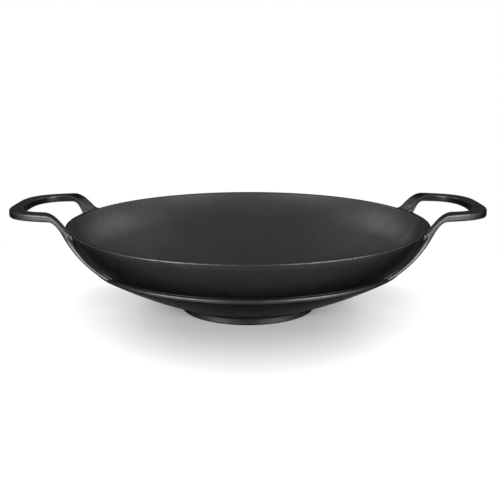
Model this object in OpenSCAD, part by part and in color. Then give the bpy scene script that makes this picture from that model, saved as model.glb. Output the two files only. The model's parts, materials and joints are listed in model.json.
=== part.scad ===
// Cast iron wok with two loop handles, in millimetres.
// The real wok is one iron casting. Each module is one zone of that casting, cut where
// its form changes, and neighbouring zones meet face to face on shared outlines.
// The origin is on the table under the middle of the foot, +Z is up and the handles lie on X.

/* [Bowl] */
// Diameter over the outside of the rim
rim_d = 356; // [346:1:372]
// Height of the wall above the shoulder, with the rim lip
wall_h = 35.7; // [31:0.1:40]
// Wall thickness above the shoulder
wall_t = 4.5; // [3.5:0.1:5.5]
// How far the wall above the shoulder bulges past its chord
wall_bulge = 3; // [1.5:0.1:3.6]
// Thickness of the floor in its middle, over the recess
floor_t = 6; // [4.5:0.1:8]
// Height of the upright rim lip
lip_h = 5; // [3:0.1:7]
// Radius of the rim's two edges
lip_r = 1.3; // [0.6:0.1:1.6]

/* [Shoulder] */
// How far the shoulder's upper edge lies inside the rim's outside
shoulder_in = 22.3; // [19:0.1:26]
// Height of the foot of the wall, above the shoulder's ledge
shoulder_h = 52.8; // [45:0.1:62]
// Height of the shoulder's step face
step_h = 3.4; // [2.4:0.1:4.5]
// How far the step face leans in towards its upper edge
step_in = 0.4; // [0:0.1:1]
// Width of the ledge between the step face and the wall
ledge_w = 1.6; // [0.8:0.1:2.4]
// How far the ledge climbs towards the wall
ledge_rise = 0.9; // [0.4:0.1:1.6]
// Width of the shoulder band inside its step
band_w = 8; // [5:0.5:12]
// How far the thick lower bowl bulges past its chord
low_bulge = 2.6; // [1:0.1:3.6]

/* [Foot] */
// Diameter of the foot
foot_d = 138; // [126:1:148]
// Height of the foot's side
foot_h = 7.5; // [5.5:0.1:9]
// Width of the flat ring that the foot stands on
foot_w = 15; // [10:0.5:20]
// Depth of the recess under the foot
recess_h = 1.5; // [0.8:0.1:2.5]
// Radius of the foot's lower outer edge
foot_edge_r = 1.5; // [0.8:0.1:2.5]

/* [Handles] */
// How far each handle reaches out past the rim
handle_out = 54.5; // [48:0.5:66]
// Outside width of each handle where it leaves the rim
handle_w = 131; // [124:1:140]
// Height of the handle's flat top above the rim
handle_rise = 17.5; // [15:0.5:20]
// Thickness of the handle bar
bar_t = 7.1; // [6:0.1:8.5]
// Width of the bar in the middle of the grip
grip_w = 12.4; // [10:0.2:14]
// Width of each arm where it leaves the rim
arm_w = 17.5; // [13:0.5:20]
// Edge radius of the bar
bar_edge_r = 1.6; // [1.2:0.1:2.8]
// Steepness of the arms where they climb from the rim, in degrees
arm_lean = 65; // [56:1:70]
// Angle at which the handle's outer sides spread towards the bowl, in degrees
splay = 14; // [10:0.5:18]
// Thickness of the panel between the legs, at the rim
panel_t = 4.5; // [3:0.1:6]

/* [Hidden] */

$fn = 96;
IRON = [0.16, 0.16, 0.17];

// Number of straight steps along each curve
wall_steps = 12;
floor_steps = 10;
low_steps = 8;
edge_steps = 4;
knee_steps = 6;
loop_steps = 14;
// Points across the width of a strap, and along each rounded corner of it
across_steps = 4;
corner_steps = 2;

// Plain curves
function mix(a, b, t) = a + (b - a) * t;
function bend(a, b, c, u) = (1 - u) * (1 - u) * a + 2 * u * (1 - u) * b + u * u * c;
function bend_way(a, b, c, u) = let (d = (1 - u) * (b - a) + u * (c - b)) d / norm(d);
function crown(a, b, h) = (a + b) / 2 + 2 * h * [b.y - a.y, a.x - b.x] / norm(b - a);
function round_point(middle, rx, ry, a) = middle + [rx * cos(a), ry * sin(a)];
function quarter(middle, r, from) =
    [for (i = [0:edge_steps]) round_point(middle, r, r, from + 90 * i / edge_steps)];

// Half section of the bowl, as points of radius and height
foot_r = foot_d / 2;
recess_r = foot_r - foot_w;
rim_r = rim_d / 2;
rim_h = shoulder_h + wall_h;
foot_top = [foot_r, foot_h];
shoulder_edge = [rim_r - shoulder_in, shoulder_h - ledge_rise];
shoulder_low = shoulder_edge + [step_in, -step_h];
shoulder_top = shoulder_edge + [-ledge_w, ledge_rise];
wall_top = [rim_r, rim_h - lip_h];
low_turn = crown(foot_top, shoulder_low, low_bulge);
wall_turn = crown(shoulder_top, wall_top, wall_bulge);
function low_out(u) = bend(foot_top, low_turn, shoulder_low, u);
function wall_out(u) = bend(shoulder_top, wall_turn, wall_top, u);
function wall_in(u) =
    let (w = bend_way(shoulder_top, wall_turn, wall_top, u)) wall_out(u) + wall_t * [-w.y, w.x];

// Inside floor curve: level in the middle, and at the shoulder this many degrees steeper than
// the lower bowl's outside, which puts it in line with the wall
floor_lean = 12;
floor_slope = tan(floor_lean + atan2(shoulder_low.y - foot_top.y, shoulder_low.x - foot_top.x));
floor_h = recess_h + floor_t;
floor_mid = [0, floor_h];
floor_end = wall_in(0);
floor_turn = [floor_end.x - (floor_end.y - floor_h) / floor_slope, floor_h];
function floor_in(u) = bend(floor_mid, floor_turn, floor_end, u);
function floor_share(r) =
    r / (floor_turn.x + sqrt(floor_turn.x * floor_turn.x + (floor_end.x - 2 * floor_turn.x) * r));
function floor_run(from, to, n) = [for (i = [0:n]) floor_in(mix(from, to, i / n))];
foot_share = floor_share(foot_r);
band_share = floor_share(shoulder_low.x - band_w);
// Share of the lower bowl's outline that lies inside the shoulder band
band_out_share = 1 - band_w / (shoulder_low.x - foot_r);

// Side outline of a strap, from the shoulder up the wall and out to the grip
top_z = rim_h + handle_rise;
slope = tan(arm_lean);
// Gap at rim level between the rim and the climbing arm
root_gap = 3.9;
// Half the length of the bend from the climbing arm to the level loop, and the most that it
// takes of the climb
knee_half = 5;
knee_share = 0.62;
// Place of the leg's lower edge on the step face
leg_step_share = 0.25;
// The side outline holds at the middle of an arm. Away from there its lines bow partly round
// the bowl: a share of 0 runs them straight across the handle, and 1 bends them fully round.
bow_share = 0.6;
arm_y = (handle_w - arm_w) / 2;
function reach(p) = sqrt(p.x * p.x + bow_share * (p.y * p.y - arm_y * arm_y));
function reach_at(r) = sqrt(r * r - arm_y * arm_y);
rim_reach = reach_at(rim_r);
climb_from = rim_reach + root_gap;
climb_run = handle_rise / slope;
knee_reach = climb_from + climb_run;
knee_run = min(knee_half, climb_run * knee_share);
root_half = min(root_gap, climb_run - knee_run);
function climb_z(x, flat_z) =
    x >= knee_reach + knee_run ? flat_z :
    x <= knee_reach - knee_run ? flat_z - slope * (knee_reach - x) :
    flat_z - slope * pow(knee_reach + knee_run - x, 2) / (4 * knee_run);
function under_z(x) = climb_z(x, top_z - bar_t);
function over_z(x) =
    x >= climb_from + root_half ? climb_z(x, top_z) :
    rim_h + slope * pow(max(0, x - climb_from + root_half), 2) / (4 * root_half);

// Underside of a leg, from the step face, where it runs along the wall, to its end square
// below the rim's outer edge
leg_seat = mix(shoulder_low, shoulder_edge, leg_step_share);
leg_low = [reach_at(leg_seat.x), leg_seat.y];
knee_low = [knee_reach, top_z - bar_t];
climb_way = [cos(arm_lean), sin(arm_lean)];
leg_end = knee_low + climb_way * (([rim_reach, rim_h] - knee_low) * climb_way);
leg_slope = (wall_turn.y - shoulder_top.y) / (wall_turn.x - shoulder_top.x);
leg_turn_x = (leg_end.y - leg_low.y + leg_low.x * leg_slope - leg_end.x * slope)
    / (leg_slope - slope);
leg_turn = [leg_turn_x, leg_low.y + (leg_turn_x - leg_low.x) * leg_slope];
function leg_under(u) = let (p = bend(leg_low, leg_turn, leg_end, u)) [norm([p.x, arm_y]), p.y];

// Plan of the handle: half widths at the rim, and how square its corners are
hub_gap = 4;
hub_x = rim_r + hub_gap;
outer_half = handle_w / 2;
inner_half = outer_half - arm_w;
outer_reach = rim_r + handle_out - hub_x;
inner_reach = outer_reach - grip_w;
outer_square = 3.7;
inner_square = 3;
function loop_point(reach, half, spread, square, a) =
    let (x = reach * pow(sin(a), 2 / square))
    [hub_x + x, (half - x * spread) * pow(cos(a), 2 / square)];
function loop_outer(a) = loop_point(outer_reach, outer_half, tan(splay), outer_square, a);
function loop_inner(a) = loop_point(inner_reach, inner_half, 0, inner_square, a);
// Angle around the loop at which an arm becomes the grip
grip_from = 42;

// Angle about the bowl's axis at which a circle meets the inner or the outer side of a leg
side_offset = outer_half * cos(splay) + hub_x * sin(splay);
function inner_angle(r) = asin(inner_half / r);
function outer_angle(r) = 90 - splay - acos(side_offset / r);

// One point of a leg: s runs from 0 at the inner side to 1 at the outer side
function leg_point(p, s) =
    let (a = mix(inner_angle(p.x), outer_angle(p.x), s)) [p.x * cos(a), p.x * sin(a), p.y];
// Height of an arm over a plan point. At the rim, share 0, it follows the leg round the wall.
function lifted(p, top, share = 1) =
    let (x = mix(reach_at(norm(p)), reach(p), share)) [p.x, p.y, top ? over_z(x) : under_z(x)];
// One point of an arm's root, at share t of the way from the rim to the start of the loop
function root_point(s, t, top) =
    let (arc = leg_point(top ? [rim_r, rim_h] : leg_under(1), s),
         flat = mix([arc.x, arc.y], [hub_x, mix(inner_half, outer_half, s)], t))
    lifted(flat, top, t);
function loop_station_point(s, a, top) =
    let (m = a > 90 ? -1 : 1, b = a > 90 ? 180 - a : a, p = mix(loop_inner(b), loop_outer(b), s))
    lifted([p.x, m * p.y], top);

// Unit outline of a strap's section, from its inner side round the underside, then back over
// the top. Each entry holds the share across and the share up.
function corner_run(sx, sy, ex, ey, from, turn) =
    [for (i = [0:corner_steps]) round_point([sx, sy], ex, ey, from + turn * i / corner_steps)];
function section_shares(edge, wide, thick) =
    let (ex = edge / wide, ey = edge / thick,
         mids = [for (i = [1:across_steps - 1]) mix(ex, 1 - ex, i / across_steps)],
         low = concat(corner_run(ex, ey, ex, ey, 180, 90), [for (m = mids) [m, 0]],
                      corner_run(1 - ex, ey, ex, ey, 270, 90)))
    concat(low, [for (i = [len(low) - 1:-1:0]) [low[i].x, 1 - low[i].y]]);
function ring(shares, low, high) = [for (i = [0:len(shares) - 1]) mix(low[i], high[i], shares[i].y)];

// Closed skin over a list of rings, made of triangles
module skin(rings) {
    n = len(rings[0]);
    last = len(rings) - 1;
    sides = [for (k = [0:last - 1], i = [0:n - 1])
        let (j = (i + 1) % n, a = k * n + i, b = k * n + j, c = a + n, d = b + n)
        each [[a, d, b], [a, c, d]]];
    caps = [for (i = [0:n / 2 - 2])
        let (a = i, b = i + 1, c = n - 2 - i, d = n - 1 - i, o = last * n)
        each [[a, c, d], [a, b, c], [o + a, o + d, o + c], [o + a, o + c, o + b]]];
    polyhedron([for (r = rings) each r], concat(sides, caps), convexity = 6);
}

module turned(profile) { rotate_extrude() polygon(profile); }

// Half of a turned zone: row is -1 for the front half and 1 for the rear
cut_over = 5;
module half_turned(profile, row) {
    length = rim_d + 2 * cut_over;
    placed(1, row) intersection() {
        turned(profile);
        translate([-length / 2, 0, 0]) cube([length, length / 2, rim_h]);
    }
}

// Places a shape made on the +X, +Y quarter: side is -1 for left, and row is -1 for front
module placed(side, row = 1) {
    mirror([side < 0 ? 1 : 0, 0, 0]) mirror([0, row < 0 ? 1 : 0, 0]) children();
}

// Ring that the wok stands on, with a rounded lower edge
module foot_ring() {
    color(IRON) turned(concat(
        [[recess_r, 0]],
        quarter([foot_r - foot_edge_r, foot_edge_r], foot_edge_r, 270),
        [foot_top, [recess_r, foot_h]]));
}

// Middle of the bowl over the foot, hollowed underneath by the shallow recess
module bowl_floor() {
    color(IRON) turned(concat(
        [[0, recess_h], [recess_r, recess_h], [recess_r, foot_h], foot_top],
        floor_run(foot_share, 0, floor_steps)));
}

// Half of the thick lower bowl between the foot and the shoulder band
module lower_bowl(row) {
    color(IRON) half_turned(concat(
        [for (i = [0:low_steps]) low_out(band_out_share * i / low_steps)],
        floor_run(band_share, foot_share, floor_steps)), row);
}

// Band that ends the thick lower bowl in a small outward step
module shoulder_band() {
    color(IRON) turned(concat(
        [for (i = [0:edge_steps]) low_out(mix(band_out_share, 1, i / edge_steps))],
        [shoulder_edge, shoulder_top],
        floor_run(1, band_share, edge_steps)));
}

// Half of the thinner wall from the shoulder to the rim
module upper_wall(row) {
    color(IRON) half_turned(concat(
        [for (i = [0:wall_steps]) wall_out(i / wall_steps)],
        [for (i = [wall_steps:-1:0]) wall_in(i / wall_steps)]), row);
}

// Upright lip with two rounded edges
module rim_lip() {
    inner = wall_in(1);
    color(IRON) turned(concat(
        [wall_top],
        quarter([rim_r - lip_r, rim_h - lip_r], lip_r, 0),
        quarter([inner.x + lip_r, rim_h - lip_r], lip_r, 90),
        [inner]));
}

// Raised panel on the wall between the two legs of a handle
panel_share = 0.8;
panel_edge = 2;
module wall_panel(side) {
    low = leg_under(panel_share);
    way = low - leg_under(panel_share - 1 / wall_steps);
    turn = low + way * (rim_r + panel_t - low.x) / way.x;
    profile = concat(
        [for (i = [0:wall_steps]) leg_under(panel_share * i / wall_steps)],
        [for (i = [1:knee_steps]) bend(low, turn, [rim_r + panel_edge, rim_h], i / knee_steps)],
        [[rim_r, rim_h]],
        [for (i = [wall_steps:-1:0]) wall_out(i / wall_steps)],
        [shoulder_edge]);
    color(IRON) placed(side) intersection() {
        turned(profile);
        translate([0, -inner_half, 0]) cube([rim_d, 2 * inner_half, 2 * rim_h]);
    }
}

// Leg that carries one arm: it runs up the wall from the shoulder to the rim
leg_edge_r = 0.6;
leg_shares = section_shares(leg_edge_r, arm_w, bar_t);
module leg(side, row) {
    inner = [for (i = [0:wall_steps]) wall_out(i / wall_steps)];
    over = concat([shoulder_edge], inner, [[rim_r, rim_h]]);
    n = len(over) - 1;
    rings = [for (k = [0:n]) ring(leg_shares,
        [for (q = leg_shares) leg_point(leg_under(k / n), q.x)],
        [for (q = leg_shares) leg_point(over[k], q.x)])];
    color(IRON) placed(side, row) skin(rings);
}

// Arm that climbs clear of the rim in an S and levels out into the loop
module arm(side, row) {
    root = [for (k = [0:knee_steps]) let (t = k / knee_steps,
            shares = section_shares(mix(leg_edge_r, bar_edge_r, t), arm_w, bar_t))
        ring(shares, [for (q = shares) root_point(q.x, t, false)],
             [for (q = shares) root_point(q.x, t, true)])];
    shares = section_shares(bar_edge_r, arm_w, bar_t);
    run = [for (k = [1:knee_steps]) let (a = grip_from * k / knee_steps)
        ring(shares, [for (q = shares) loop_station_point(q.x, a, false)],
             [for (q = shares) loop_station_point(q.x, a, true)])];
    color(IRON) placed(side, row) skin(concat(root, run));
}

// Outer part of the loop, where the fingers hold it
module grip(side) {
    shares = section_shares(bar_edge_r, arm_w, bar_t);
    rings = [for (k = [0:loop_steps]) let (a = mix(grip_from, 180 - grip_from, k / loop_steps))
        ring(shares, [for (q = shares) loop_station_point(q.x, a, false)],
             [for (q = shares) loop_station_point(q.x, a, true)])];
    color(IRON) placed(side) skin(rings);
}

foot_ring();
bowl_floor();
lower_bowl(-1);  // front_lower_bowl
lower_bowl(1);  // rear_lower_bowl
shoulder_band();
upper_wall(-1);  // front_wall
upper_wall(1);  // rear_wall
rim_lip();
wall_panel(-1);  // left_wall_panel
wall_panel(1);  // right_wall_panel
leg(-1, -1);  // left_front_leg
leg(-1, 1);  // left_rear_leg
leg(1, -1);  // right_front_leg
leg(1, 1);  // right_rear_leg
arm(-1, -1);  // left_front_arm
arm(-1, 1);  // left_rear_arm
arm(1, -1);  // right_front_arm
arm(1, 1);  // right_rear_arm
grip(-1);  // left_grip
grip(1);  // right_grip
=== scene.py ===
import json
from math import acos, asin, atan, atan2, cos, pi, radians, sin, sqrt, tan

import bmesh
import bpy
from mathutils import Matrix, Vector

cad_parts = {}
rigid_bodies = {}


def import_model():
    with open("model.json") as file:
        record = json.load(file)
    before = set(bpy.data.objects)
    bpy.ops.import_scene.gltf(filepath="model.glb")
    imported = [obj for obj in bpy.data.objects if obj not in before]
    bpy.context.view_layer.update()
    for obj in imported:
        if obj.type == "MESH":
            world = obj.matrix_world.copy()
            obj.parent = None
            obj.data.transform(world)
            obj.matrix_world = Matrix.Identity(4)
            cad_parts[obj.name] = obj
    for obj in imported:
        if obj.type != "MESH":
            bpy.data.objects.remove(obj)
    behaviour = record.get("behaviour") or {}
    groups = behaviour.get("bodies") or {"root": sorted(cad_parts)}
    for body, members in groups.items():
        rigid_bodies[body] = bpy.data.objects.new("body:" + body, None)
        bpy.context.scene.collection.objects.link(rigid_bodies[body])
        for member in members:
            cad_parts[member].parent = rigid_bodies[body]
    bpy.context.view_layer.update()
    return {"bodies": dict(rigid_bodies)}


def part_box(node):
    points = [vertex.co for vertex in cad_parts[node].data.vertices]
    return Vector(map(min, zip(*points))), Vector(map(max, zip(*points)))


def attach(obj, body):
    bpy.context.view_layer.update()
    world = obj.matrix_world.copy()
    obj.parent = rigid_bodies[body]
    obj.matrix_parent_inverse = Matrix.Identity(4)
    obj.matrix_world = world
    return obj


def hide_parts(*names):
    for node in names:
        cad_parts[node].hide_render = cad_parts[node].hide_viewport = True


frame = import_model()
casting = next(iter(frame["bodies"]))

# Camera: it stands in front of the wok and looks down on it by about eleven degrees, so the rim
# is a flat ellipse and the outside still shows below it. The wok sits above the picture's middle.
rim_low, rim_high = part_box("rim_lip")
rim_r, rim_h = rim_high.x, rim_high.z
image_px = 500
focal_px = 772.6
rim_middle_px = Vector((248.0, 220.0))
camera_gap = 0.78
look_down = radians(11.286)
camera_roll = -0.00124

camera_data = bpy.data.cameras.new("camera")
camera_data.lens = camera_data.sensor_width * focal_px / image_px
camera_data.shift_x = 0.5 - rim_middle_px.x / image_px
camera_data.clip_start = 0.01
camera = bpy.data.objects.new("camera", camera_data)
bpy.context.scene.collection.objects.link(camera)
bpy.context.scene.camera = camera
aim_down = look_down + atan((image_px / 2 - rim_middle_px.y) / focal_px)
camera.location = (0, -camera_gap * cos(look_down), rim_h + camera_gap * sin(look_down))
camera.rotation_euler = (
    Matrix.Rotation(pi / 2 - aim_down, 3, "X") @ Matrix.Rotation(camera_roll, 3, "Z")
).to_euler()
bpy.context.scene.view_settings.view_transform = "Standard"

# Floor: a plain pale sheet under the wok, matt and wide enough to fill the picture. Close to the
# wok it takes the light and shadow that fall on it, and further out it clears to the white
# background, for the eye and for reflections alike.
floor_half = 9.0
floor_tone = (0.86, 0.86, 0.86, 1)
floor_rough = 0.9
clear_from, clear_at = 0.2, 0.42
floor_mesh = bpy.data.meshes.new("floor")
bm = bmesh.new()
bmesh.ops.create_grid(bm, x_segments=1, y_segments=1, size=floor_half)
bm.to_mesh(floor_mesh)
bm.free()
floor = bpy.data.objects.new("floor", floor_mesh)
bpy.context.scene.collection.objects.link(floor)


def background_rays(nodes, links):
    """1 for the rays that show the white background: camera, glossy and transmission."""
    path = nodes.new("ShaderNodeLightPath")
    total = path.outputs["Is Camera Ray"]
    for ray in ("Is Glossy Ray", "Is Transmission Ray"):
        either = nodes.new("ShaderNodeMath")
        either.operation = "MAXIMUM"
        links.new(total, either.inputs[0])
        links.new(path.outputs[ray], either.inputs[1])
        total = either.outputs[0]
    return total


floor_paint = bpy.data.materials.new("floor_paint")
floor_paint.use_nodes = True
nodes, links = floor_paint.node_tree.nodes, floor_paint.node_tree.links
paint = nodes["Principled BSDF"]
paint.inputs["Base Color"].default_value = floor_tone
paint.inputs["Roughness"].default_value = floor_rough
paint.inputs["Specular IOR Level"].default_value = 0.0
floor_place = nodes.new("ShaderNodeTexCoord")
distance = nodes.new("ShaderNodeVectorMath")
distance.operation = "LENGTH"
links.new(floor_place.outputs["Object"], distance.inputs[0])
clearing = nodes.new("ShaderNodeMapRange")
clearing.interpolation_type = "SMOOTHSTEP"
clearing.inputs["From Min"].default_value = clear_from
clearing.inputs["From Max"].default_value = clear_at
links.new(distance.outputs["Value"], clearing.inputs["Value"])
shown = nodes.new("ShaderNodeMath")
shown.operation = "MULTIPLY"
links.new(clearing.outputs["Result"], shown.inputs[0])
links.new(background_rays(nodes, links), shown.inputs[1])
white = nodes.new("ShaderNodeEmission")
mixed = nodes.new("ShaderNodeMixShader")
links.new(shown.outputs[0], mixed.inputs["Fac"])
links.new(paint.outputs["BSDF"], mixed.inputs[1])
links.new(white.outputs[0], mixed.inputs[2])
links.new(mixed.outputs[0], nodes["Material Output"].inputs["Surface"])
floor_mesh.materials.append(floor_paint)

# Light: a white studio that lights the wok evenly from all around. Two low soft boxes at the front
# left and right draw the bright edges, and two high ones behind brighten the sides of the inside.
world = bpy.data.worlds.new("studio")
bpy.context.scene.world = world
world.use_nodes = True
room = world.node_tree.nodes["Background"]
room.inputs["Color"].default_value = (1, 1, 1, 1)
room.inputs["Strength"].default_value = 1.0

box_gap = 1.6
low_turn_from_front = radians(45)
low_size = (0.9, 0.3)
low_height = 0.17
low_power = 47.0
high_turn_from_front = radians(132)
high_size = (1.0, 0.6)
high_height = 1.0
high_power = 16.0


def soft_box(name, turn, height, size, power):
    lamp = bpy.data.lights.new(name, "AREA")
    lamp.shape = "RECTANGLE"
    lamp.size, lamp.size_y = size
    lamp.energy = power
    stand = bpy.data.objects.new(name, lamp)
    stand.location = (box_gap * sin(turn), -box_gap * cos(turn), height)
    aim = Vector((0, 0, rim_h / 2)) - stand.location
    stand.rotation_euler = aim.to_track_quat("-Z", "Y").to_euler()
    stand.visible_camera = False
    bpy.context.scene.collection.objects.link(stand)


for side, name in ((-1, "left"), (1, "right")):
    soft_box(f"{name}_low_box", side * low_turn_from_front, low_height, low_size, low_power)
    soft_box(f"{name}_high_box", side * high_turn_from_front, high_height, high_size, high_power)

# Bowl: the round body of the wok, one sand casting in iron with its handles. It stands on a short
# ring foot, its thick lower bowl ends in a small ledge, and the thinner wall above runs up to an
# upright lip with softened edges.
foot_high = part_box("foot_ring")[1]
recess_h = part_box("bowl_floor")[0].z
shoulder_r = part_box("shoulder_band")[1].x
wall_foot_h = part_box("front_wall")[0].z
foot_w = 0.015
foot_draft = 0.0008
floor_t = 0.006
floor_lean = radians(12)
low_bulge = 0.0026
step_h = 0.0034
step_in = 0.0002
step_draft = 0.0001
ledge_w = 0.0018
ledge_rise = 0.0009
wall_t = 0.0045
wall_bulge = 0.003
wall_in_share = 0.45
wall_in_stride = 0.02
lip_w = 0.0042
lip_lean = 0.0013
lip_r = 0.0013
curve_steps = 22
corner_steps = 5
around_steps = 256
merge_gap = 1e-6


def flat(radius, height):
    return Vector((radius, 0, height))


def bend(a, b, c, u):
    return (1 - u) ** 2 * a + 2 * u * (1 - u) * b + u * u * c


def curve(a, b, c):
    return [bend(a, b, c, i / curve_steps) for i in range(curve_steps + 1)]


def crown(a, b, height):
    """The turning point of a curve from a to b that stands out by this height in its middle."""
    run = (b - a).normalized()
    return (a + b) / 2 + 2 * height * Vector((run.z, 0, -run.x))


foot_r = foot_high.x
recess_r = foot_r - foot_w
foot_top = flat(foot_r - foot_draft, foot_high.z)
shoulder_top = flat(shoulder_r - step_in - ledge_w, wall_foot_h)
shoulder_edge = flat(shoulder_r - step_in, wall_foot_h - ledge_rise)
shoulder_low = flat(shoulder_r - step_in - step_draft, wall_foot_h - ledge_rise - step_h)
wall_top = flat(rim_r - lip_lean, rim_low.z)
low_turn = crown(foot_top, shoulder_low, low_bulge)
wall_turn = crown(shoulder_top, wall_top, wall_bulge)


def wall_out(u):
    return bend(shoulder_top, wall_turn, wall_top, u)


def wall_in(u):
    run = ((1 - u) * (wall_turn - shoulder_top) + u * (wall_top - wall_turn)).normalized()
    return wall_out(u) + wall_t * Vector((-run.z, 0, run.x))


floor_h = recess_h + floor_t
floor_end = wall_in(0)
low_run = shoulder_low - foot_top
floor_slope = tan(floor_lean + atan2(low_run.z, low_run.x))
floor_turn = flat(floor_end.x - (floor_end.z - floor_h) / floor_slope, floor_h)
lip_in = flat(rim_r - lip_w, rim_h)
wall_in_low = wall_in(wall_in_share)
wall_in_run = wall_in_low - wall_in(wall_in_share - wall_in_stride)
wall_in_turn = wall_in_low + wall_in_run.normalized() * (rim_h - wall_in_low.z) / 2

# Corners of the half section with the radius that each is rounded to
foot_corners = [
    (flat(recess_r, recess_h), 0.0008), (flat(recess_r, 0), 0.0008), (flat(foot_r, 0), 0.0015)
]
step_corners = [
    (foot_top, 0.0025), (shoulder_low, 0.0016), (shoulder_edge, 0.002), (shoulder_top, 0.0007)
]
lip_corners = [(flat(rim_r, rim_h), lip_r), (lip_in, lip_r)]
section = (
    [flat(0, recess_h)]
    + [corner for corner, radius in foot_corners]
    + curve(foot_top, low_turn, shoulder_low)
    + [shoulder_edge]
    + curve(shoulder_top, wall_turn, wall_top)
    + [corner for corner, radius in lip_corners]
    + curve(lip_in, wall_in_turn, wall_in_low)[1:-1]
    + [wall_in(wall_in_share * (1 - i / curve_steps)) for i in range(curve_steps)]
    + curve(floor_end, floor_turn, flat(0, floor_h))
)

# Seasoned iron, for the bowl, handles and panels: black and satin. The outside keeps the grain of
# the sand mould, the inside is ground smoother and a little lighter, and the edges are rubbed
# towards bare iron. Each mesh notes what is worn, and the bowl and handles also note what is
# ground. A grain is a noise's scale and detail.
outside_tone = (0.0205, 0.0205, 0.0205, 1)
inside_tone = (0.0435, 0.0435, 0.0458, 1)
worn_tone = (0.08, 0.079, 0.078, 1)
outside_rough, inside_rough, worn_rough = 0.4, 0.5, 0.33
edge_sheen = 0.29
wear_least, wear_most = 0.147, 0.42
inside_wear = 0.2
wear_grain = (140, 4)
cloud_grain, cloud_amount = (28, 4), 0.05
speck_grain, speck_amount = (420, 2), 0.06
rough_grain, rough_amount = (70, 5), 0.07
sand_grain, sand_depth = (900, 3), 0.0002
outside_sand, inside_sand = 0.5, 0.2
full_wear_bend = 0.35
ground_from, ground_full = 0.2, 0.6

seasoned_iron = bpy.data.materials.new("seasoned_iron")
seasoned_iron.use_nodes = True
nodes, links = seasoned_iron.node_tree.nodes, seasoned_iron.node_tree.links
iron = nodes["Principled BSDF"]
iron.inputs["Metallic"].default_value = 1.0
iron.inputs["Specular Tint"].default_value = (edge_sheen, edge_sheen, edge_sheen, 1)
iron_place = nodes.new("ShaderNodeTexCoord")


def noise(scale, detail):
    made = nodes.new("ShaderNodeTexNoise")
    made.inputs["Scale"].default_value = scale
    made.inputs["Detail"].default_value = detail
    links.new(iron_place.outputs["Object"], made.inputs["Vector"])
    return made.outputs["Fac"]


def spread(value, low, high, start=0.3, stop=0.7):
    """Maps start to stop, the range that most of a noise lies in, onto low to high."""
    made = nodes.new("ShaderNodeMapRange")
    made.inputs["From Min"].default_value = start
    made.inputs["From Max"].default_value = stop
    made.inputs["To Min"].default_value = low
    made.inputs["To Max"].default_value = high
    links.new(value, made.inputs["Value"])
    return made.outputs["Result"]


def varied(grain, amount):
    return spread(noise(*grain), 1 - amount, 1 + amount)


def noted(name):
    made = nodes.new("ShaderNodeAttribute")
    made.attribute_name = name
    return made.outputs["Fac"]


def times(a, b):
    made = nodes.new("ShaderNodeMath")
    made.operation = "MULTIPLY"
    links.new(a, made.inputs[0])
    links.new(b, made.inputs[1])
    return made.outputs[0]


def between(kind, share, a, b):
    """Mixes two tones or two values by a share; each is a constant or another node's result."""
    made = nodes.new("ShaderNodeMix")
    made.data_type = kind
    links.new(share, made.inputs["Factor"])
    for name, value in (("A", a), ("B", b)):
        if isinstance(value, bpy.types.NodeSocket):
            links.new(value, made.inputs[name])
        else:
            made.inputs[name].default_value = value
    return made.outputs["Result"]


ground = noted("ground")
wear = times(noted("worn"), spread(noise(*wear_grain), wear_least, wear_most))
wear = times(wear, spread(ground, 1, inside_wear, 0, 1))
tone = between("RGBA", wear, between("RGBA", ground, outside_tone, inside_tone), worn_tone)
mottle = nodes.new("ShaderNodeHueSaturation")
links.new(tone, mottle.inputs["Color"])
clouds, specks = varied(cloud_grain, cloud_amount), varied(speck_grain, speck_amount)
links.new(times(clouds, specks), mottle.inputs["Value"])
links.new(mottle.outputs["Color"], iron.inputs["Base Color"])
rough = between("FLOAT", wear, between("FLOAT", ground, outside_rough, inside_rough), worn_rough)
links.new(times(rough, varied(rough_grain, rough_amount)), iron.inputs["Roughness"])
sand = nodes.new("ShaderNodeBump")
sand.inputs["Distance"].default_value = sand_depth
links.new(spread(ground, outside_sand, inside_sand, 0, 1), sand.inputs["Strength"])
links.new(noise(*sand_grain), sand.inputs["Height"])
links.new(sand.outputs["Normal"], iron.inputs["Normal"])


def within(value):
    """Holds a share between 0 and 1."""
    return max(0.0, min(1.0, value))


def round_corner(bm, vert, radius):
    a, b = [(e.other_vert(vert).co - vert.co) for e in vert.link_edges]
    turn = pi - a.angle(b)
    bmesh.ops.bevel(
        bm, geom=[vert], offset=radius * tan(turn / 2), offset_type="OFFSET", segments=corner_steps,
        profile=0.5, affect="VERTICES", material=-1,
    )


def close_mesh(bm):
    """Joins doubled points and turns every face outwards."""
    bmesh.ops.remove_doubles(bm, verts=bm.verts, dist=merge_gap)
    bmesh.ops.recalc_face_normals(bm, faces=bm.faces)


def finish_mesh(bm, name, cad_nodes):
    """Closes a mesh, notes how far each convex edge is worn, and hands the piece over."""
    close_mesh(bm)
    worn = bm.verts.layers.float.new("worn")
    for vert in bm.verts:
        bend_here = max(e.calc_face_angle_signed(0.0) for e in vert.link_edges)
        vert[worn] = within(bend_here / full_wear_bend)
    mesh = bpy.data.meshes.new(name)
    bm.to_mesh(mesh)
    bm.free()
    mesh.materials.append(seasoned_iron)
    mesh.shade_smooth()
    piece = bpy.data.objects.new(name, mesh)
    bpy.context.scene.collection.objects.link(piece)
    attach(piece, casting)
    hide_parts(*cad_nodes)


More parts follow.
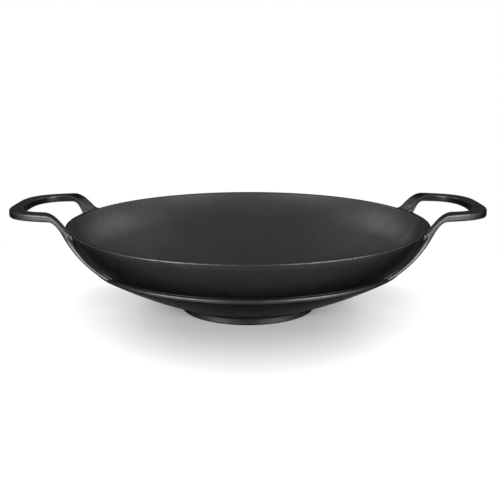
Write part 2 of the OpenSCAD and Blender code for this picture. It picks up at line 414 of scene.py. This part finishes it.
bm = bmesh.new()
chain = [bm.verts.new(p) for p in section]
for a, b in zip(chain, chain[1:]):
    bm.edges.new((a, b))
for corner, radius in foot_corners + step_corners + lip_corners:
    round_corner(bm, min(bm.verts, key=lambda v: (v.co - corner).length), radius)
bmesh.ops.spin(
    bm, geom=bm.verts[:] + bm.edges[:], cent=(0, 0, 0), axis=(0, 0, 1), angle=2 * pi,
    steps=around_steps, use_merge=True,
)
close_mesh(bm)
bm.normal_update()
note = bm.verts.layers.float.new("ground")
for vert in bm.verts:
    outward = Vector((vert.co.x, vert.co.y, 0)).normalized()
    facing = vert.normal.z - vert.normal.dot(outward)
    vert[note] = within((facing - ground_from) / (ground_full - ground_from))
finish_mesh(
    bm, "bowl",
    ("foot_ring", "bowl_floor", "front_lower_bowl", "rear_lower_bowl", "shoulder_band",
     "front_wall", "rear_wall", "rim_lip"),
)

# Handles: each is one bar of the same iron, cast with the bowl. Two legs rise on the outside of the
# wall, leave it at the rim as arms, climb in an S and meet in a level loop. Below, the legs spread
# and die out at the step. One half is made from its leg to the middle of the grip, then mirrored.
grip_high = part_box("right_grip")[1]
handle_rise = grip_high.z - rim_h
bar_t = 0.0071

# The loop from above. A square is the power of its rounded end: 2 is an ellipse, more is squarer
arm_w = 0.0175
grip_w = 0.0124
outer_half = 0.0655
inner_half = outer_half - arm_w
arm_y = (outer_half + inner_half) / 2
hub_gap = 0.004
hub_x = rim_r + hub_gap
splay = radians(14)
side_offset = outer_half * cos(splay) + hub_x * sin(splay)
outer_reach = grip_high.x - hub_x
inner_reach = outer_reach - grip_w
outer_square = 3.7
inner_square = 3.0

# The arm from the side: its underside, then its top, with half the length of each soft bend
arm_lean = radians(65)
root_gap = 0.0039
knee_half = 0.005
bow_share = 0.6
top_lean = radians(55.4)
top_knee_half = 0.009
top_foot_half = 0.0031
fold_slant = 0.26
fold_y = 0.0582
roll_w = 0.005
roll_drop = 0.0008
inner_draft = 0.0012
root_crown = 0.0018
root_crown_pace = 1.6
root_dip = 0.0002

# The leg on the wall, and the fillets that join leg to wall and arm to rim
leg_seat_share = 0.25
leg_seat = shoulder_low.lerp(shoulder_edge, leg_seat_share)
leg_sink = 0.0015
leg_fillet = 0.0045
leg_fillet_from = 0.4
leg_spread = 0.018
fillet_deep = 0.0028
fillet_fade = 0.003
fillet_sag = 0.45
fillet_least = 0.25
fillet_rise = 0.0065

# The bar's rounded corners, how finely it is divided, and how far up its top is ground
corner_round = 0.0015
corner_parts = 4
across_parts = 12
side_parts = 5
leg_stations = 18
root_stations = 30
sunk_stations = 4
loop_stations = 40
loop_pace = 1.85
top_from = 0.9
ground_end, ground_fade = 0.9, 0.6


def reach_at(radius):
    return sqrt(radius * radius - arm_y * arm_y)


arm_slope = tan(arm_lean)
knee_reach = reach_at(rim_r) + root_gap + handle_rise / arm_slope
top_slope = tan(top_lean)
top_foot_x = reach_at(rim_r)
top_knee_x = top_foot_x + handle_rise / top_slope


def under_z(reach):
    """Height of the arm's underside."""
    level = grip_high.z - bar_t
    if reach >= knee_reach + knee_half:
        return level
    if reach <= knee_reach - knee_half:
        return level - arm_slope * (knee_reach - reach)
    return level - arm_slope * (knee_reach + knee_half - reach) ** 2 / (4 * knee_half)


def over_z(plan):
    """Height of the arm's top. Its fold lies a little aslant, between straight and concentric."""
    x = plan.x + fold_slant * (plan.y - fold_y)
    if x >= top_knee_x + top_knee_half:
        return grip_high.z
    if x >= top_knee_x - top_knee_half:
        left = top_knee_x + top_knee_half - x
        return grip_high.z - top_slope * left**2 / (4 * top_knee_half)
    if x >= top_foot_x + top_foot_half:
        return grip_high.z - top_slope * (top_knee_x - x)
    risen = top_slope * max(0, x - top_foot_x + top_foot_half) ** 2 / (4 * top_foot_half)
    return rim_h - root_dip + risen


def quarter(size, gone):
    """How far a round fillet of this size stands out where this share of its run is gone."""
    left = within(1 - gone)
    return size * (1 - sqrt(1 - left * left))


def rolled(plan, share):
    """The arm's top with its outer edge rolled off where it climbs."""
    top = over_z(plan)
    climbing = sin(pi * within((top - rim_h) / handle_rise))
    edge = quarter(1.0, (1 - share) * arm_w / roll_w)
    return Vector((plan.x, plan.y, top - roll_drop * climbing * edge))


# The leg's underside leaves the step along the slope of the wall and bends into the arm's line
leg_low = flat(reach_at(leg_seat.x), leg_seat.z)
arm_low = flat(knee_reach, grip_high.z - bar_t)
arm_way = flat(cos(arm_lean), sin(arm_lean))
leg_end = arm_low + arm_way * (flat(reach_at(rim_r), rim_h) - arm_low).dot(arm_way)
wall_run = wall_turn - shoulder_top
leg_slope = wall_run.z / wall_run.x
leg_turn_x = (leg_end.z - leg_low.z + leg_low.x * leg_slope - leg_end.x * arm_slope) / (
    leg_slope - arm_slope
)
leg_turn = flat(leg_turn_x, leg_low.z + (leg_turn_x - leg_low.x) * leg_slope)


def leg_under(u):
    p = bend(leg_low, leg_turn, leg_end, u)
    return flat(sqrt(p.x * p.x + arm_y * arm_y), p.z)


def around(p, share, wider_in, wider_out):
    """A place on the casting's round at radius p.x, from the inner to the outer edge of a leg."""
    inner = asin(inner_half / p.x) - wider_in / p.x
    outer = pi / 2 - splay - acos(side_offset / p.x) + wider_out / p.x
    a = inner + (outer - inner) * share
    return Vector((p.x * cos(a), p.x * sin(a), p.z))


def leg_ring(u):
    low, high = leg_under(u), wall_out(u) - flat(leg_sink, 0)
    surface = 1 - leg_sink / (low - high).length
    foot_spread = leg_spread * (1 - u) ** 2
    ring = []
    for share, depth in bar_shares:
        gone = 1 - (depth - leg_fillet_from) / (surface - leg_fillet_from)
        wider = quarter(leg_fillet, gone)
        ring.append(around(low.lerp(high, depth), share, wider, wider + foot_spread))
    return ring


def lifted(plan, t):
    """A place on the underside, whose knee turns from concentric at t 0 to less bowed at t 1."""
    radius = Vector((plan.x, plan.y)).length
    bowed = sqrt(plan.x**2 + bow_share * (plan.y**2 - arm_y**2))
    return Vector((plan.x, plan.y, under_z(reach_at(radius) * (1 - t) + bowed * t)))


def filleted(p, share):
    """Widens a root where it meets the rim and sinks its thin edges into the iron there."""
    gap = Vector((p.x, p.y)).length - rim_r
    above = p.z - rim_h
    size = leg_fillet * max(fillet_least, min(1.0, -above / fillet_rise))
    wider = quarter(size, gap / fillet_deep) * within(1 - above / fillet_fade) ** 2
    sagging = fillet_sag * within(1 + above / leg_fillet) * abs(2 * share - 1) ** 3
    return p + Vector((0, (2 * share - 1) * wider, -sagging * wider))


def drafted(p, share, depth, amount):
    """Leans the side towards the finger gap, so that the casting leaves its mould."""
    return p + Vector((0, inner_draft * amount * (1 - share) ** 2 * (1 - depth), 0))


def root_under(share, t):
    start = around(leg_under(1), share, 0, 0)
    plan = Vector((start.x, start.y, 0)).lerp(Vector((hub_x, inner_half + arm_w * share, 0)), t)
    return lifted(plan, t)


def root_over(share, t):
    start = around(lip_in + flat(lip_r, 0), share, 0, 0)
    plan = start.lerp(Vector((hub_x, inner_half + arm_w * share, rim_h)), t)
    crown_share = (1 - (2 * share - 1) ** 2) * sin(pi * min(1, t * root_crown_pace)) ** 2
    top = rolled(plan, share)
    top.z += root_crown * crown_share
    return top


def sunk_over(share, t):
    """The top of a root's first stations, which lies inside the wall and lip."""
    deep = wall_out(1) - flat(2 * leg_sink, 0)
    return around(deep.lerp(lip_in + flat(lip_r, -2 * root_dip), t), share, 0, 0)


def loop_edge(reach, half, narrowing, square, a):
    x = reach * sin(a) ** (2 / square)
    return Vector((hub_x + x, (half - x * narrowing) * max(0, cos(a)) ** (2 / square), 0))


def loop_ring(a):
    inner = loop_edge(inner_reach, inner_half, 0, inner_square, a)
    outer = loop_edge(outer_reach, outer_half, tan(splay), outer_square, a)
    ring = []
    for share, depth in bar_shares:
        plan = inner.lerp(outer, share)
        place = lifted(plan, 1).lerp(rolled(plan, share), depth)
        ring.append(drafted(place, share, depth, max(0.0, cos(2 * a))))
    return ring


def even(low, high, parts):
    return [low + (high - low) * i / parts for i in range(1, parts)]


# Section of the bar as shares of its width, from the inner side, and of its depth, from below
rounding = [
    (corner_round / arm_w * (1 - cos(a)), corner_round / bar_t * (1 - sin(a)))
    for a in (pi / 2 * i / corner_parts for i in range(corner_parts + 1))
]
flank = even(rounding[0][1], 1 - rounding[0][1], side_parts)
base = [(x, 0.0) for x in even(rounding[-1][0], 1 - rounding[-1][0], across_parts)]
below = rounding + base + [(1 - x, y) for x, y in reversed(rounding)]
bar_shares = (
    below + [(1.0, y) for y in flank] + [(1 - x, 1 - y) for x, y in below]
    + [(0.0, 1 - y) for y in flank]
)

half_bar = [leg_ring(i / leg_stations) for i in range(leg_stations + 1)]
for i in range(1, root_stations + 1):
    t = i / root_stations
    ring = []
    for share, depth in bar_shares:
        low = root_under(share, t)
        if i < sunk_stations:
            high = sunk_over(share, i / (sunk_stations - 1))
        else:
            high = root_over(share, (i - sunk_stations) / (root_stations - sunk_stations))
        ring.append(drafted(filleted(low.lerp(high, depth), share), share, depth, t))
    half_bar.append(ring)
for i in range(1, loop_stations + 1):
    half_bar.append(loop_ring(pi / 2 * (i / loop_stations) ** loop_pace))
other_half = [[Vector((p.x, -p.y, p.z)) for p in ring] for ring in reversed(half_bar[:-1])]
stations = half_bar + other_half

for side, name in ((-1, "left"), (1, "right")):
    bm = bmesh.new()
    note = bm.verts.layers.float.new("ground")
    end = bm.faces.new([bm.verts.new(p) for p in stations[0]])
    for ring in stations[1:]:
        grown = bmesh.ops.extrude_face_region(bm, geom=[end])["geom"]
        if ring is not stations[1]:
            bm.faces.remove(end)
        end = next(g for g in grown if isinstance(g, bmesh.types.BMFace))
        for vert, place, (_, depth) in zip(end.verts, ring, bar_shares):
            vert.co = place
            risen = (place.z - rim_h) / handle_rise
            vert[note] = within((ground_end - risen) / ground_fade) if depth > top_from else 0.0
    if side < 0:
        bmesh.ops.rotate(bm, cent=(0, 0, 0), matrix=Matrix.Rotation(pi, 3, "Z"), verts=bm.verts)
    finish_mesh(
        bm, f"{name}_handle",
        (f"{name}_front_leg", f"{name}_rear_leg", f"{name}_front_arm", f"{name}_rear_arm",
         f"{name}_grip"),
    )

# Wall panels: between the two legs of each handle the wall is thickened from the step up to the
# rim, so that the casting doesn't crack where the handle pulls on it. It is cast with the bowl in
# the same iron, and its face lies a little lower than the legs.
panel_share = 0.8
panel_parts = 16
panel_bend_parts = 6
panel_steps = 56
panel_over = 0.002
panel_back = 0.001
panel_drop = 0.0005
panel_tuck = 0.006
panel_side = inner_half + panel_tuck
panel_angle = radians(36)
panel_round = 0.0007
panel_round_steps = 3
panel_sharp = radians(50)
panel_low = leg_under(panel_share) - flat(panel_back, 0)
panel_way = panel_low - leg_under(panel_share - 1 / panel_parts) + flat(panel_back, 0)
panel_turn = panel_low + panel_way * (rim_r + 2 * panel_over - panel_low.x) / panel_way.x
panel_rim = flat(rim_r + panel_over, rim_h - panel_drop)
panel_outline = (
    [leg_under(panel_share * i / panel_parts) - flat(panel_back, 0) for i in range(panel_parts + 1)]
    + [bend(panel_low, panel_turn, panel_rim, i / panel_bend_parts) for i in range(1, panel_bend_parts)]
    + [panel_rim, flat(rim_r - lip_r, rim_h - panel_drop)]
    + [wall_out(1 - i / panel_parts) - flat(leg_sink, 0) for i in range(panel_parts + 1)]
    + [shoulder_edge - flat(leg_sink, 0), leg_seat - flat(leg_sink, 0)]
)
for side, name in ((-1, "left"), (1, "right")):
    bm = bmesh.new()
    bm.faces.new([bm.verts.new(p) for p in panel_outline])
    bmesh.ops.rotate(bm, cent=(0, 0, 0), matrix=Matrix.Rotation(-panel_angle, 3, "Z"), verts=bm.verts)
    bmesh.ops.spin(
        bm, geom=bm.verts[:] + bm.edges[:] + bm.faces[:], cent=(0, 0, 0), axis=(0, 0, 1),
        angle=2 * panel_angle, steps=panel_steps,
    )
    for row in (-1, 1):
        cut = bmesh.ops.bisect_plane(
            bm, geom=bm.verts[:] + bm.edges[:] + bm.faces[:], dist=merge_gap,
            plane_co=(0, row * panel_side, 0), plane_no=(0, row, 0), clear_outer=True,
        )["geom_cut"]
        bmesh.ops.contextual_create(bm, geom=[g for g in cut if isinstance(g, bmesh.types.BMEdge)])
    bmesh.ops.recalc_face_normals(bm, faces=bm.faces)
    sharp = [e for e in bm.edges if e.is_manifold and e.calc_face_angle() > panel_sharp]
    bmesh.ops.bevel(
        bm, geom=sharp, offset=panel_round, offset_type="OFFSET", segments=panel_round_steps,
        profile=0.5, affect="EDGES", material=-1, clamp_overlap=True,
    )
    if side < 0:
        bmesh.ops.rotate(bm, cent=(0, 0, 0), matrix=Matrix.Rotation(pi, 3, "Z"), verts=bm.verts)
    finish_mesh(bm, f"{name}_panel", (f"{name}_wall_panel",))
